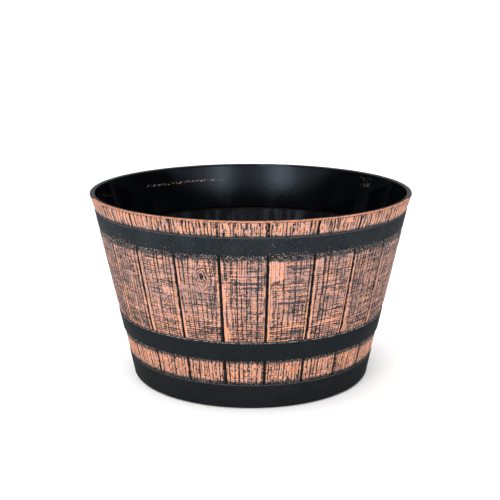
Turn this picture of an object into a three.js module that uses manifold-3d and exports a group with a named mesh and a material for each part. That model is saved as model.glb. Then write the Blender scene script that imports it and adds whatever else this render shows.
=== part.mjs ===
// A half-barrel planter: one moulded resin tub with staves and hoops in its wall, and five drain plugs.
// Millimetres, +Z up. The ground is Z = 0, the tub's axis is the Z axis and its front faces -Y.
// Angles round the tub count from the front towards +X.
import * as THREE from 'three';
import { mergeVertices } from 'three/addons/utils/BufferGeometryUtils.js';
import Module from 'manifold-3d';

const wasm = await Module();
wasm.setup();

// The tub's wall
const HEIGHT = 231.5;
const STAVE_TOP_RADIUS = 195.7; // face of the staves, carried up to the height of the rim
const WALL_TAPER = 0.213; // radius that the wall loses for each millimetre down, a draft of 12 degrees
const WALL_THICKNESS = 4.5;
const INNER_LEDGE_HEIGHT = 173; // below it the wall is thicker by INNER_LEDGE
const INNER_LEDGE = 0.8;

// The staves, marked out by the grooves between them
const STAVES = 22;
const FIRST_SEAM = THREE.MathUtils.degToRad(5.7);
const GROOVE_MOUTH = 3.4;
const GROOVE_ROOT = 1.8;
const GROOVE_DEPTH = 1.6;
const BAND_SINK = 2.4; // how far the hoops and the rim bead run into the wall, past the grooves' roots

// The bands on the wall: bottom and top height, and how far each edge stands proud of the staves
const UPPER_HOOP = { bottom: 191.5, top: 212.8, proudBottom: 0.8, proudTop: 0.7 };
const LOWER_HOOP = { bottom: 62.6, top: 86.1, proudBottom: 1.3, proudTop: 1.2 };
const BASE_BAND = { bottom: 5.4, top: 31.7, proudBottom: 1.2, proudTop: 0.6 };
const BAND_EDGE = 0.5; // rounding of the hoops' edges

// The rim bead
const RIM_RADIUS = 197;
const BEAD_HEIGHT = 2.4;
const BEAD_ROUNDING = 1.2;
const RIM_INNER_ROUNDING = 1.2;

// The floor and what stands under it
const FLOOR_UNDERSIDE = 6;
const FLOOR_TOP = 10.5;
const FLOOR_FILLET = 12;
const STAND_INNER_RADIUS = 128;
const STAND_OUTER_RADIUS = 141.7;
const STAND_DRAFT = 1;
const RIBS = 8;
const RIB_UNDERSIDE = 2;
const RIB_TIP = 2;
const RIB_ROOT = 3;
const HUB_RADIUS = 24;
const HUB_WALL = 2.5;
const NOTCHES = 4;
const NOTCH_WIDTH = 14;
const NOTCH_HEIGHT = 2.2;
const NOTCH_LENGTH = 34; // across the stand ring and the rounded corner outside it

// The drain holes: one in the middle, and the rest on a circle between the ribs
const HOLE_CIRCLE_RADIUS = 85;
const HOLE_RADIUS = 8;
const COLLAR_RADIUS = 11.5;
const SEAT_RADIUS = 13.4;
const SEAT_DEPTH = 1;
const HOLE_PLACES = [
  { name: 'centre', angle: 0, radius: 0 },
  { name: 'front', angle: 0, radius: HOLE_CIRCLE_RADIUS },
  { name: 'right', angle: Math.PI / 2, radius: HOLE_CIRCLE_RADIUS },
  { name: 'back', angle: Math.PI, radius: HOLE_CIRCLE_RADIUS },
  { name: 'left', angle: -Math.PI / 2, radius: HOLE_CIRCLE_RADIUS },
];

// The drain plugs: a hollow stem in the hole, a flange in the seat and a fin to pull them out by
const PLUG_GAP = 0.3;
const PLUG_LENGTH = 6.5; // of the stem below the flange
const PLUG_WALL = 1.8;
const PLUG_STEM_DRAFT = 0.3;
const FLANGE_HEIGHT = 2.4;
const FLANGE_EDGE = 0.8;
const FLANGE_CROWN = 0.7;
const FIN_WIDTH = 13;
const FIN_HEIGHT = 6.8;
const FIN_HANDLE = (FIN_HEIGHT * 4) / 3; // the curve rises to three quarters of its handles
const FIN_THICKNESS = 2.6;

// Fineness
const SIDES_PER_STAVE = 3;
const TUB_SIDES = STAVES * SIDES_PER_STAVE;
const STAVE_PITCH = 2 * Math.PI / STAVES;
const TUB_START = FIRST_SEAM + STAVE_PITCH / SIDES_PER_STAVE / 2; // each seam runs down the middle of a side
const PLUG_SIDES = 24;
const CURVE_STEPS = 4;
const WELD_DISTANCE = 1e-3;
const OVERRUN = 5; // how far a cutter runs past what it cuts

const staveRadius = (z) => STAVE_TOP_RADIUS - WALL_TAPER * (HEIGHT - z);
const upperInnerRadius = (z) => staveRadius(z) - WALL_THICKNESS;
const lowerInnerRadius = (z) => upperInnerRadius(z) - INNER_LEDGE;

// A solid turned about the Z axis from a section of radius and height
function turned(section, sides, start = 0) {
  const points = section.getPoints(CURVE_STEPS);
  return new THREE.LatheGeometry(points, sides, start).rotateX(Math.PI / 2);
}

// A solid of the outline, which lies in X and Y, from Z = 0 up to the length
function extruded(outline, length) {
  return new THREE.ExtrudeGeometry(outline, { depth: length, bevelEnabled: false, curveSegments: 2 * CURVE_STEPS });
}

// Moves what lies at the front, at Y = -radius, round the tub to the angle
function placedRound(geometry, angle, radius = 0, z = 0) {
  return geometry.translate(0, -radius, z).rotateZ(angle);
}

function toSolid(geometry) {
  const bare = geometry.clone();
  bare.deleteAttribute('normal');
  bare.deleteAttribute('uv');
  const merged = mergeVertices(bare, WELD_DISTANCE);
  const index = merged.getIndex().array;
  const triangles = [];
  for (let i = 0; i < index.length; i += 3) {
    const [a, b, c] = index.subarray(i, i + 3);
    if (a !== b && b !== c && c !== a) {
      triangles.push(a, b, c);
    }
  }
  const mesh = new wasm.Mesh({
    numProp: 3,
    vertProperties: new Float32Array(merged.getAttribute('position').array),
    triVerts: new Uint32Array(triangles),
  });
  return new wasm.Manifold(mesh);
}

function toGeometry(solid) {
  const mesh = solid.getMesh();
  const geometry = new THREE.BufferGeometry();
  geometry.setAttribute('position', new THREE.BufferAttribute(mesh.vertProperties, 3));
  geometry.setIndex(new THREE.BufferAttribute(mesh.triVerts, 1));
  geometry.computeVertexNormals();
  return geometry;
}

function namedMesh(name, geometry, material) {
  const mesh = new THREE.Mesh(geometry, material);
  mesh.name = name;
  return mesh;
}

// The plain tub: wall, rounded rim, inner ledge, filleted floor and nothing below the floor
function shellSection() {
  const section = new THREE.Path();
  section.moveTo(0, FLOOR_UNDERSIDE);
  section.lineTo(staveRadius(FLOOR_UNDERSIDE), FLOOR_UNDERSIDE);
  section.lineTo(staveRadius(HEIGHT), HEIGHT);
  const rimInner = upperInnerRadius(HEIGHT);
  section.lineTo(rimInner + RIM_INNER_ROUNDING, HEIGHT);
  section.quadraticCurveTo(rimInner, HEIGHT, rimInner, HEIGHT - RIM_INNER_ROUNDING);
  section.lineTo(upperInnerRadius(INNER_LEDGE_HEIGHT), INNER_LEDGE_HEIGHT);
  section.lineTo(lowerInnerRadius(INNER_LEDGE_HEIGHT - INNER_LEDGE), INNER_LEDGE_HEIGHT - INNER_LEDGE);
  const filletTop = FLOOR_TOP + FLOOR_FILLET;
  section.lineTo(lowerInnerRadius(filletTop), filletTop);
  const corner = lowerInnerRadius(FLOOR_TOP);
  section.quadraticCurveTo(corner, FLOOR_TOP, corner - FLOOR_FILLET, FLOOR_TOP);
  section.lineTo(0, FLOOR_TOP);
  return section;
}

// A hoop: a flat band that follows the wall's slope, sunk into the wall and with broken edges
function hoopSection({ bottom, top, proudBottom, proudTop }) {
  const lowFace = staveRadius(bottom) + proudBottom;
  const highFace = staveRadius(top) + proudTop;
  const section = new THREE.Path();
  section.moveTo(staveRadius(bottom) - BAND_SINK, bottom);
  section.lineTo(lowFace - BAND_EDGE, bottom);
  section.lineTo(lowFace, bottom + BAND_EDGE);
  section.lineTo(highFace, top - BAND_EDGE);
  section.lineTo(highFace - BAND_EDGE, top);
  section.lineTo(staveRadius(top) - BAND_SINK, top);
  section.closePath();
  return section;
}

// The base band, with the rounded foot corner and the ring that the tub stands on
function baseSection() {
  const { bottom, top, proudBottom, proudTop } = BASE_BAND;
  const lowFace = staveRadius(bottom) + proudBottom;
  const highFace = staveRadius(top) + proudTop;
  const insideFloor = (FLOOR_UNDERSIDE + FLOOR_TOP) / 2;
  const section = new THREE.Path();
  section.moveTo(STAND_INNER_RADIUS, 0);
  section.lineTo(STAND_OUTER_RADIUS, 0);
  section.quadraticCurveTo(lowFace - BAND_EDGE, 0, lowFace, bottom);
  section.lineTo(highFace, top - BAND_EDGE);
  section.lineTo(highFace - BAND_EDGE, top);
  section.lineTo(staveRadius(top) - BAND_SINK, top);
  section.lineTo(staveRadius(insideFloor) - BAND_SINK, insideFloor);
  section.lineTo(STAND_INNER_RADIUS - STAND_DRAFT, insideFloor);
  section.closePath();
  return section;
}

// The bead round the outside of the rim
function beadSection() {
  const bottom = HEIGHT - BEAD_HEIGHT;
  const section = new THREE.Path();
  section.moveTo(staveRadius(bottom) - BAND_SINK, bottom);
  section.lineTo(staveRadius(bottom) + BAND_EDGE, bottom);
  section.lineTo(RIM_RADIUS, bottom + 2 * BAND_EDGE);
  section.lineTo(RIM_RADIUS, HEIGHT - BEAD_ROUNDING);
  section.quadraticCurveTo(RIM_RADIUS, HEIGHT, RIM_RADIUS - BEAD_ROUNDING, HEIGHT);
  section.lineTo(staveRadius(HEIGHT) - BAND_SINK, HEIGHT);
  section.closePath();
  return section;
}

// Cuts one groove between two staves, from below the base band's top up through the rim
function grooveCutter(angle) {
  const outline = new THREE.Shape();
  outline.moveTo(-GROOVE_ROOT / 2, GROOVE_DEPTH);
  outline.lineTo(-GROOVE_MOUTH / 2, 0);
  outline.lineTo(-GROOVE_MOUTH / 2, -OVERRUN);
  outline.lineTo(GROOVE_MOUTH / 2, -OVERRUN);
  outline.lineTo(GROOVE_MOUTH / 2, 0);
  outline.lineTo(GROOVE_ROOT / 2, GROOVE_DEPTH);
  const slope = Math.atan(WALL_TAPER);
  const start = (BASE_BAND.bottom + BASE_BAND.top) / 2;
  const length = (HEIGHT + OVERRUN - start) / Math.cos(slope);
  const sideRadius = staveRadius(start) * Math.cos(Math.PI / TUB_SIDES);
  return placedRound(extruded(outline, length).rotateX(slope), angle, sideRadius, start);
}

// A rib under the floor, from the hub to the stand ring, thinner at its free edge
function floorRib(angle) {
  const outline = new THREE.Shape();
  const rootHeight = (FLOOR_UNDERSIDE + FLOOR_TOP) / 2;
  outline.moveTo(-RIB_TIP / 2, RIB_UNDERSIDE);
  outline.lineTo(RIB_TIP / 2, RIB_UNDERSIDE);
  outline.lineTo(RIB_ROOT / 2, rootHeight);
  outline.lineTo(-RIB_ROOT / 2, rootHeight);
  const length = STAND_INNER_RADIUS + STAND_DRAFT - HUB_RADIUS;
  return placedRound(extruded(outline, length).rotateX(Math.PI / 2), angle, HUB_RADIUS);
}

// A ring under the floor, round the hub or a drain hole
function floorRing(innerRadius, outerRadius) {
  const rootHeight = (FLOOR_UNDERSIDE + FLOOR_TOP) / 2;
  const section = new THREE.Path();
  section.moveTo(innerRadius, RIB_UNDERSIDE);
  section.lineTo(outerRadius, RIB_UNDERSIDE);
  section.lineTo(outerRadius, rootHeight);
  section.lineTo(innerRadius, rootHeight);
  section.closePath();
  return turned(section, PLUG_SIDES);
}

// Lets water out from under the stand ring
function notchCutter(angle) {
  const notch = new THREE.BoxGeometry(NOTCH_WIDTH, NOTCH_LENGTH, 2 * NOTCH_HEIGHT);
  return placedRound(notch, angle, (STAND_INNER_RADIUS + STAND_OUTER_RADIUS) / 2);
}

// Cuts a drain hole and the shallow seat for its plug's flange
function drainCutter({ angle, radius }) {
  const section = new THREE.Path();
  section.moveTo(0, -OVERRUN);
  section.lineTo(HOLE_RADIUS, -OVERRUN);
  section.lineTo(HOLE_RADIUS, FLOOR_TOP - SEAT_DEPTH);
  section.lineTo(SEAT_RADIUS, FLOOR_TOP - SEAT_DEPTH);
  section.lineTo(SEAT_RADIUS, FLOOR_TOP + OVERRUN);
  section.lineTo(0, FLOOR_TOP + OVERRUN);
  return placedRound(turned(section, PLUG_SIDES), angle, radius);
}

function makeTub() {
  let tub = toSolid(turned(shellSection(), TUB_SIDES, TUB_START));
  for (let stave = 0; stave < STAVES; stave += 1) {
    tub = tub.subtract(toSolid(grooveCutter(FIRST_SEAM + stave * STAVE_PITCH)));
  }
  const bands = [hoopSection(UPPER_HOOP), hoopSection(LOWER_HOOP), baseSection(), beadSection()];
  for (const section of bands) {
    tub = tub.add(toSolid(turned(section, TUB_SIDES, TUB_START)));
  }
  for (let rib = 0; rib < RIBS; rib += 1) {
    tub = tub.add(toSolid(floorRib((rib + 0.5) * 2 * Math.PI / RIBS)));
  }
  tub = tub.add(toSolid(floorRing(HUB_RADIUS - HUB_WALL, HUB_RADIUS + HUB_WALL / 2)));
  for (const place of HOLE_PLACES) {
    const collar = floorRing(HOLE_RADIUS - HUB_WALL, COLLAR_RADIUS);
    tub = tub.add(toSolid(placedRound(collar, place.angle, place.radius)));
  }
  for (const place of HOLE_PLACES) {
    tub = tub.subtract(toSolid(drainCutter(place)));
  }
  for (let notch = 0; notch < NOTCHES; notch += 1) {
    tub = tub.subtract(toSolid(notchCutter((notch + 0.5) * 2 * Math.PI / NOTCHES)));
  }
  const resin = new THREE.MeshStandardMaterial({ color: 0xa9694c, roughness: 0.6, metalness: 0.1 });
  return namedMesh('barrel_tub', toGeometry(tub), resin);
}

// A plug with its flange's underside PLUG_GAP above the seat
function makePlug({ name, angle, radius }) {
  const flangeBottom = FLOOR_TOP - SEAT_DEPTH + PLUG_GAP;
  const flangeTop = flangeBottom + FLANGE_HEIGHT;
  const stemBottom = flangeBottom - PLUG_LENGTH;
  const stemRadius = HOLE_RADIUS - PLUG_GAP;
  const flangeRadius = SEAT_RADIUS - PLUG_GAP;
  const section = new THREE.Path();
  section.moveTo(0, flangeBottom);
  section.lineTo(stemRadius - PLUG_WALL, flangeBottom);
  section.lineTo(stemRadius - PLUG_STEM_DRAFT - PLUG_WALL, stemBottom);
  section.lineTo(stemRadius - PLUG_STEM_DRAFT, stemBottom);
  section.lineTo(stemRadius, flangeBottom);
  section.lineTo(flangeRadius, flangeBottom);
  section.lineTo(flangeRadius, flangeTop - FLANGE_EDGE);
  section.lineTo(flangeRadius - FLANGE_EDGE, flangeTop);
  section.quadraticCurveTo(flangeRadius / 2, flangeTop + FLANGE_CROWN, 0, flangeTop + FLANGE_CROWN);
  const stopper = toSolid(turned(section, PLUG_SIDES));

  const finOutline = new THREE.Shape();
  finOutline.moveTo(-FIN_WIDTH / 2, 0);
  finOutline.lineTo(FIN_WIDTH / 2, 0);
  finOutline.bezierCurveTo(FIN_WIDTH / 2, FIN_HANDLE, -FIN_WIDTH / 2, FIN_HANDLE, -FIN_WIDTH / 2, 0);
  const fin = extruded(finOutline, FIN_THICKNESS).rotateX(Math.PI / 2).translate(0, FIN_THICKNESS / 2, flangeTop);

  const rubber = new THREE.MeshStandardMaterial({ color: 0x1c1d1f, roughness: 0.75, metalness: 0 });
  const geometry = toGeometry(stopper.add(toSolid(fin)));
  return namedMesh(`drain_plug_${name}`, placedRound(geometry, angle, radius), rubber);
}

const planter = new THREE.Group();
planter.add(makeTub());
for (const place of HOLE_PLACES) {
  planter.add(makePlug(place));
}

export default planter;
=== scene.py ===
# A half-barrel planter tub moulded in black resin, with copper paint dry-brushed over its raised grain.
# Metres, +Z up, the tub's axis on Z and its front facing -Y. Heights and reliefs of the wall are in
# millimetres, as they are on a drawing, and are brought to metres where a mesh is placed.
import math
import bpy
import numpy as np
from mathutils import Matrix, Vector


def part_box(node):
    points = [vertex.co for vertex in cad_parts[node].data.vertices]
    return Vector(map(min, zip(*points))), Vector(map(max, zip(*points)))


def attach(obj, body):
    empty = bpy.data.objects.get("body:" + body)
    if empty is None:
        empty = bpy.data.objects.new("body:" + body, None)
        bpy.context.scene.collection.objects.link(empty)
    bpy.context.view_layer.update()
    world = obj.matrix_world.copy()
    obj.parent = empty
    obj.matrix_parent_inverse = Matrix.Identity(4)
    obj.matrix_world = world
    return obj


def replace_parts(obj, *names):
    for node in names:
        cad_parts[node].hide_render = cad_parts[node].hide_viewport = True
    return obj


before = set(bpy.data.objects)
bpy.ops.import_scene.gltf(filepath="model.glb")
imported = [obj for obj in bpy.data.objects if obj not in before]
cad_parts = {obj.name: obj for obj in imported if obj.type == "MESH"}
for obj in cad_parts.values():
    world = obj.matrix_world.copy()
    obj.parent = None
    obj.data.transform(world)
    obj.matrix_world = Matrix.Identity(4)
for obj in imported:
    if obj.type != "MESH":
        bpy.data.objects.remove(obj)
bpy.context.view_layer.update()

MM = 0.001
TUB_LOW, TUB_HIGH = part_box("barrel_tub")

# The wall, in millimetres
HEIGHT = TUB_HIGH.z / MM
STAVE_TOP_RADIUS = 195.7
WALL_TAPER = 0.213
WALL_THICKNESS = 4.5
INNER_LEDGE_HEIGHT = 173.0
INNER_LEDGE = 0.8
RIM_RADIUS = 197.4
LIP_HEIGHT = 2.2
RIM_EDGE = 1.4
GROOVE_MOUTH = 3.1
TOP_GROOVE_MOUTH = 2.4  # above the upper hoop, where paint has crept in
GROOVE_ROOT = 1.8
GROOVE_DEPTH = 1.6
UPPER_HOOP = {"bottom": 191.5, "top": 212.8, "proud_bottom": 0.8, "proud_top": 0.7}
LOWER_HOOP = {"bottom": 62.6, "top": 86.1, "proud_bottom": 1.3, "proud_top": 1.2}
HOOP_THICKNESS = 2.6
HOOP_EDGE = 0.55
BASE_TOP = 31.7
BASE_CORNER = 5.4
BASE_EDGE = 0.6
BASE_PROUD_TOP = 0.6
BASE_PROUD_BOTTOM = 1.2
STAND_OUTER_RADIUS = 141.7
STAND_INNER_RADIUS = 128.0
FLOOR_UNDERSIDE = 6.0
FLOOR_TOP = 10.5
FLOOR_FILLET = 12.0

# The staves
STAVES = 22
STAVE_PITCH = 2 * math.pi / STAVES
FIRST_SEAM = math.radians(5.7)
STAVE_HALF = 23.0  # half of a stave's face, on the flat pattern that its grain is drawn on
TUB_SIDES = STAVES * 12

# The camera, found by fitting the tub's outline
CAMERA_DISTANCE = 1.2859
CAMERA_HEIGHT = 0.4642
CAMERA_ASIDE = -0.0009
CAMERA_PITCH = math.radians(13.608)
CAMERA_LENS = 75.9


def stave_radius(height):
    return STAVE_TOP_RADIUS - WALL_TAPER * (HEIGHT - height)


# --- Camera, floor and light


def just_added(name):
    """The object that was added last, under its own name."""
    obj = bpy.context.object
    obj.name = name
    return obj


def add_camera():
    bpy.ops.object.camera_add(
        location=(CAMERA_ASIDE, -CAMERA_DISTANCE, CAMERA_HEIGHT),
        rotation=(math.pi / 2 - CAMERA_PITCH, 0, 0),
    )
    camera = bpy.context.object
    camera.data.lens = CAMERA_LENS
    camera.data.sensor_width = 36
    bpy.context.scene.camera = camera


def add_floor():
    bpy.ops.mesh.primitive_plane_add(size=400, location=(0, 0, 0))
    floor = just_added("studio_floor")
    floor.data.materials.append(new_material("studio_paper", (0.96, 0.96, 0.96), roughness=0.9))


def add_lamp(name, place, size, watts):
    bpy.ops.object.light_add(type="AREA", location=place)
    lamp = just_added(name)
    lamp.data.shape = "RECTANGLE"
    lamp.data.size, lamp.data.size_y = size
    lamp.data.energy = watts
    towards = [a - p for a, p in zip(SOFTBOX_AIM, place)]
    lamp.rotation_euler = Vector(towards).to_track_quat("-Z", "Y").to_euler()


SOFTBOX_AIM = (0, 0, 0.15)
# The sky's brightness overhead, which falls from the left to the right, and its shares by the sine of
# the height above the horizon
SKY_TOP = 2.1
SKY_LEFT = 1.12 * SKY_TOP
SKY_RIGHT = 0.8 * SKY_TOP
SKY_BY_HEIGHT = [(0.0, 0.03), (0.26, 0.04), (0.36, 0.24), (0.5, 0.5), (0.62, 0.84), (0.75, 1.0)]
# A soft band of light stands low before the tub and shows in its glossy inside. It is brightest in two
# places, and bows down towards its ends by BAND_CURVE. Both lists give shares of BAND_TOP: by height,
# and across from the left, 0, to the right, 1.
BAND_TOP = 6.4
BAND_CURVE = 0.054
BAND_BY_HEIGHT = [
    (0.231, 0.0), (0.235, 0.1), (0.239, 0.36), (0.243, 0.75),
    (0.247, 1.0), (0.254, 1.0), (0.263, 0.6), (0.3, 0.0),
]
BAND_ACROSS = [
    (0.05, 0.12), (0.13, 0.2), (0.2, 0.4), (0.25, 0.76),
    (0.3, 0.97), (0.34, 0.93), (0.39, 0.58), (0.43, 0.36),
    (0.5, 0.24), (0.56, 0.26), (0.61, 0.42), (0.66, 0.78),
    (0.7, 0.92), (0.74, 0.7), (0.8, 0.34), (0.88, 0.16),
]


def light_studio():
    """A strong softbox before the tub on the left, a weak one on the right, and the studio's own light."""
    add_lamp("softbox_left", (-0.93, -2.52, 1.9), (1.45, 1.6), 29)
    add_lamp("softbox_right", (1.17, -2.45, 1.9), (1.2, 1.4), 5)
    world = bpy.data.worlds.new("studio")
    bpy.context.scene.world = world
    world.use_nodes = True
    n = Nodes(world)
    sky = world.node_tree.nodes["Background"]
    sky.inputs["Color"].default_value = (1, 1, 1, 1)
    x, y, z = n.split(n.add("TexCoord").outputs["Generated"])
    above = n.times(n.shares(z, SKY_BY_HEIGHT), n.flat_ramp(x, -1, 1, SKY_LEFT, SKY_RIGHT))
    bowed = n.math("ADD", z, n.times(x, x, BAND_CURVE))
    across = n.shares(n.flat_ramp(x, -1, 1, 0, 1), BAND_ACROSS)
    before = n.flat_ramp(y, 0.05, -0.05, 0, BAND_TOP)
    band = n.times(n.shares(bowed, BAND_BY_HEIGHT), across, before)
    n.join(n.math("ADD", above, band), sky.inputs["Strength"])
    settings = bpy.context.scene.view_settings
    settings.view_transform = "Standard"
    settings.look = "None"
    settings.exposure = 0
    settings.gamma = 1


# --- Materials


def linear(*tone):
    """A colour read off a picture, 0 to 255, as Blender's linear colour."""
    shares = [c / 255 for c in tone]
    return tuple(s / 12.92 if s <= 0.04045 else ((s + 0.055) / 1.055) ** 2.4 for s in shares)


def new_material(name, colour, roughness, specular=0.5):
    material = bpy.data.materials.new(name)
    material.use_nodes = True
    shader = material.node_tree.nodes["Principled BSDF"]
    shader.inputs["Base Color"].default_value = (*colour, 1)
    shader.inputs["Roughness"].default_value = roughness
    shader.inputs["Specular IOR Level"].default_value = specular
    return material


class Nodes:
    """Short ways to add and join shader nodes in one material, or in the studio's light."""

    def __init__(self, material):
        self.tree = material.node_tree
        self.shader = self.tree.nodes.get("Principled BSDF")

    def add(self, kind, **settings):
        node = self.tree.nodes.new("ShaderNode" + kind)
        for name, value in settings.items():
            setattr(node, name, value)
        return node

    def join(self, source, target):
        self.tree.links.new(source, target)

    def place(self, scale=(1, 1, 1)):
        """Object coordinates, stretched."""
        coordinates = self.add("TexCoord")
        mapping = self.add("Mapping")
        mapping.inputs["Scale"].default_value = scale
        self.join(coordinates.outputs["Object"], mapping.inputs["Vector"])
        return mapping.outputs["Vector"]

    def node(self, kind, inputs, output, **settings):
        """Adds a node, fills its inputs and returns one of its outputs."""
        node = self.add(kind, **settings)
        for place, value in inputs.items():
            self.fill(node.inputs[place], value)
        return node.outputs[output]

    def fill(self, socket, value):
        """Sets a socket to a number or a tone, or joins another node's output to it."""
        if isinstance(value, (int, float)):
            socket.default_value = value
        elif isinstance(value, tuple):
            socket.default_value = (*linear(*value), 1)
        else:
            self.join(value, socket)

    def noise(self, vector, scale, detail=2.0, roughness=0.5):
        inputs = {"Vector": vector, "Scale": scale, "Detail": detail, "Roughness": roughness}
        return self.node("TexNoise", inputs, "Fac")

    def ramp(self, value, low, high, to_low=0.0, to_high=1.0, kind="SMOOTHSTEP"):
        """value from low to high becomes to_low to to_high, smoothly."""
        inputs = {"Value": value, "From Min": low, "From Max": high, "To Min": to_low, "To Max": to_high}
        return self.node("MapRange", inputs, "Result", interpolation_type=kind)

    def flat_ramp(self, value, low, high, to_low, to_high):
        """As ramp, but in a straight line."""
        return self.ramp(value, low, high, to_low, to_high, kind="LINEAR")

    def between(self, value, start, full, last, end):
        """1 where value lies from full to last, running out to 0 at start and at end."""
        return self.times(self.ramp(value, start, full), self.ramp(value, end, last))

    def step(self, value, level, start, full):
        """A ramp whose two limits are given in millimetres from level."""
        return self.ramp(value, (level + start) * MM, (level + full) * MM)

    def belt(self, height, level, offsets):
        """As between, with the four limits given in millimetres from level."""
        return self.between(height, *[(level + offset) * MM for offset in offsets])

    def spots(self, vector, scale, detail, *limits):
        """Noise cut by a ramp into spots."""
        return self.ramp(self.noise(vector, scale, detail), *limits)

    def colour_ramp(self, value, stops):
        node = self.add("ValToRGB")
        bands = node.color_ramp.elements
        for i, (position, colour) in enumerate(stops):
            band = bands[i] if i < 2 else bands.new(position)
            band.position = position
            band.color = (*colour, 1)
        self.join(value, node.inputs["Fac"])
        return node.outputs["Color"]

    def shares(self, value, stops):
        """A number from 0 to 1 that runs through stops, each a place from 0 to 1 and its share."""
        return self.colour_ramp(value, [(position, (share,) * 3) for position, share in stops])

    def stops(self, value, tones):
        """A colour that runs through tones, each a place from 0 to 1 and a colour read off a picture."""
        return self.colour_ramp(value, [(position, linear(*tone)) for position, tone in tones])

    def math(self, operation, *values):
        return self.node("Math", dict(enumerate(values)), "Value", operation=operation)

    def times(self, first, *others):
        for other in others:
            first = self.math("MULTIPLY", first, other)
        return first

    def mix(self, factor, first, second):
        """A mix of two colours. Their sockets share a name with others, and go by number."""
        return self.node("Mix", {"Factor": factor, 6: first, 7: second}, 2, data_type="RGBA")

    def attribute(self, name):
        node = self.add("Attribute", attribute_name=name)
        parts = self.add("SeparateColor")
        self.join(node.outputs["Color"], parts.inputs["Color"])
        return tuple(parts.outputs)

    def split(self, vector):
        parts = self.add("SeparateXYZ")
        self.join(vector, parts.inputs["Vector"])
        return tuple(parts.outputs)

    def colour(self, value):
        self.join(value, self.shader.inputs["Base Color"])

    def roughness(self, value):
        self.join(value, self.shader.inputs["Roughness"])

    def bump(self, height, strength, distance):
        inputs = {"Height": height, "Strength": strength, "Distance": distance}
        self.join(self.node("Bump", inputs, "Normal"), self.shader.inputs["Normal"])


# Tones of the copper from a bare spot to a full coat, as read off the photograph and evened for its light
COAT = [
    (0.0, (22, 27, 32)), (0.2, (52, 49, 50)), (0.38, (86, 74, 72)), (0.58, (121, 99, 95)),
    (0.74, (151, 119, 111)), (0.88, (186, 139, 122)), (1.0, (231, 164, 133)),
]
# Where the coat turns to another tone: by height in metres, down the wall, and by the noise of its hue
TONES_BY_HEIGHT = [(0.205, 0.18, (225, 163, 140)), (0.145, 0.08, (230, 157, 120))]
TONES_BY_HUE = [(0.5, 0.6, (230, 153, 102)), (0.5, 0.4, (209, 161, 147))]


def dry_brushed_copper():
    """Copper over black. The attribute holds each spot's coat, how far it's smeared grey, and its stipple."""
    material = new_material("dry_brushed_copper", linear(230, 165, 135), roughness=0.6, specular=0.08)
    n = Nodes(material)
    coat, smear, stipple = n.attribute("brushwork")
    place = n.place()
    grit = n.noise(place, 1100, detail=3)
    gritty = n.times(n.ramp(grit, 0.25, 0.75, -0.2, 0.2), n.ramp(coat, 0.02, 0.25))
    coat = n.math("ADD", coat, gritty)
    paint = n.stops(coat, COAT)
    full = n.ramp(coat, 0.35, 1.0, 0.0, 0.75)
    height = n.split(place)[2]
    hue = n.noise(place, 110, detail=5, roughness=0.75)
    for value, tones in ((height, TONES_BY_HEIGHT), (hue, TONES_BY_HUE)):
        for start, end, tone in tones:
            paint = n.mix(n.times(n.ramp(value, start, end), full), paint, tone)
    paint = n.mix(smear, paint, (86, 86, 91))
    specks = n.times(n.spots(place, 850, 1, 0.58, 0.64, 0.0, 0.85), stipple)
    n.colour(n.mix(specks, paint, (172, 152, 142)))
    n.roughness(n.ramp(coat, 0.0, 1.0, 0.5, 0.65))
    n.bump(grit, 0.25, 0.0003)
    return material


def moulded_black(name, tone, sheen, edge_height, edge_specks_and_glint, speck_density=0.0, crept_in=False):
    """Satin black sanded resin, clouded, with a pale line just below edge_height: specks and painted
    highlight.

    speck_density above 0 strews copper specks over it and dabs along the upper hoop's foot. crept_in
    lets copper into the grooves above the upper hoop.
    """
    material = new_material(name, linear(*tone), roughness=0.75, specular=0.06)
    n = Nodes(material)
    place = n.place()
    aside, _, height = n.split(place)
    sand = n.noise(place, 1100, detail=2)
    cloud = n.noise(place, 24, detail=3)
    brighter = tuple(c + sheen for c in tone)
    colour = n.mix(n.ramp(cloud, 0.4, 0.66), tone, brighter)
    mottle = n.ramp(n.noise(place, 650, detail=3, roughness=0.6), 0.42, 0.7)
    colour = n.mix(mottle, colour, tuple(c + 8 for c in brighter))
    if speck_density:
        where = n.spots(place, 45, 1, 0.53, 0.63, 0.0, speck_density)
        specks = n.times(n.spots(place, 620, 1, 0.74, 0.765), where)
        colour = n.mix(specks, colour, (222, 182, 160))
        foot = n.belt(height, UPPER_HOOP["bottom"], (1.0, 1.4, 2.5, 3.1))
        dabs = n.spots(n.place((1, 1, 3)), 330, 2, 0.58, 0.64)
        where = n.spots(place, 17, 1, 0.53, 0.6, 0.0, 0.8)
        colour = n.mix(n.times(dabs, foot, where), colour, (190, 150, 130))
    # Painted shade: darker towards the right, away from the strong softbox on the left
    colour = n.mix(n.ramp(aside, 0.05, 0.17, 0.0, 0.2), colour, (6, 8, 8))
    # A pale broken line on the edge's chamfer: pale specks, and a painted highlight where the edge catches
    # the light
    at_edge = n.belt(height, edge_height, (-1.7, -1.2, -0.5, -0.1))
    glint_mask = n.spots(place, 260, 3, 0.42, 0.6, 0.1, edge_specks_and_glint)
    colour = n.mix(n.times(at_edge, glint_mask), colour, (150, 148, 148))
    if crept_in:
        above = n.step(height, UPPER_HOOP["top"], 0.0, 2.2)
        crept = n.times(n.spots(place, 420, 2, 0.5, 0.56), above)
        colour = n.mix(crept, colour, (190, 132, 105))
    n.colour(colour)
    n.roughness(n.ramp(cloud, 0.3, 0.7, 0.7, 0.82))
    n.bump(sand, 0.35, 0.0004)
    return material


# Where the upper inside is marked, in metres: each mark starts, is full, is full no more, and ends
SCUFF_HEIGHTS = (0.2096, 0.2104, 0.2122, 0.213)
SCUFF_ACROSS = (-0.142, -0.136, -0.05, -0.03)
NICK_HEIGHTS = (0.212, 0.215, 0.224, 0.227)
NICK_ACROSS = (0.147, 0.149, 0.158, 0.163)


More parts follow.
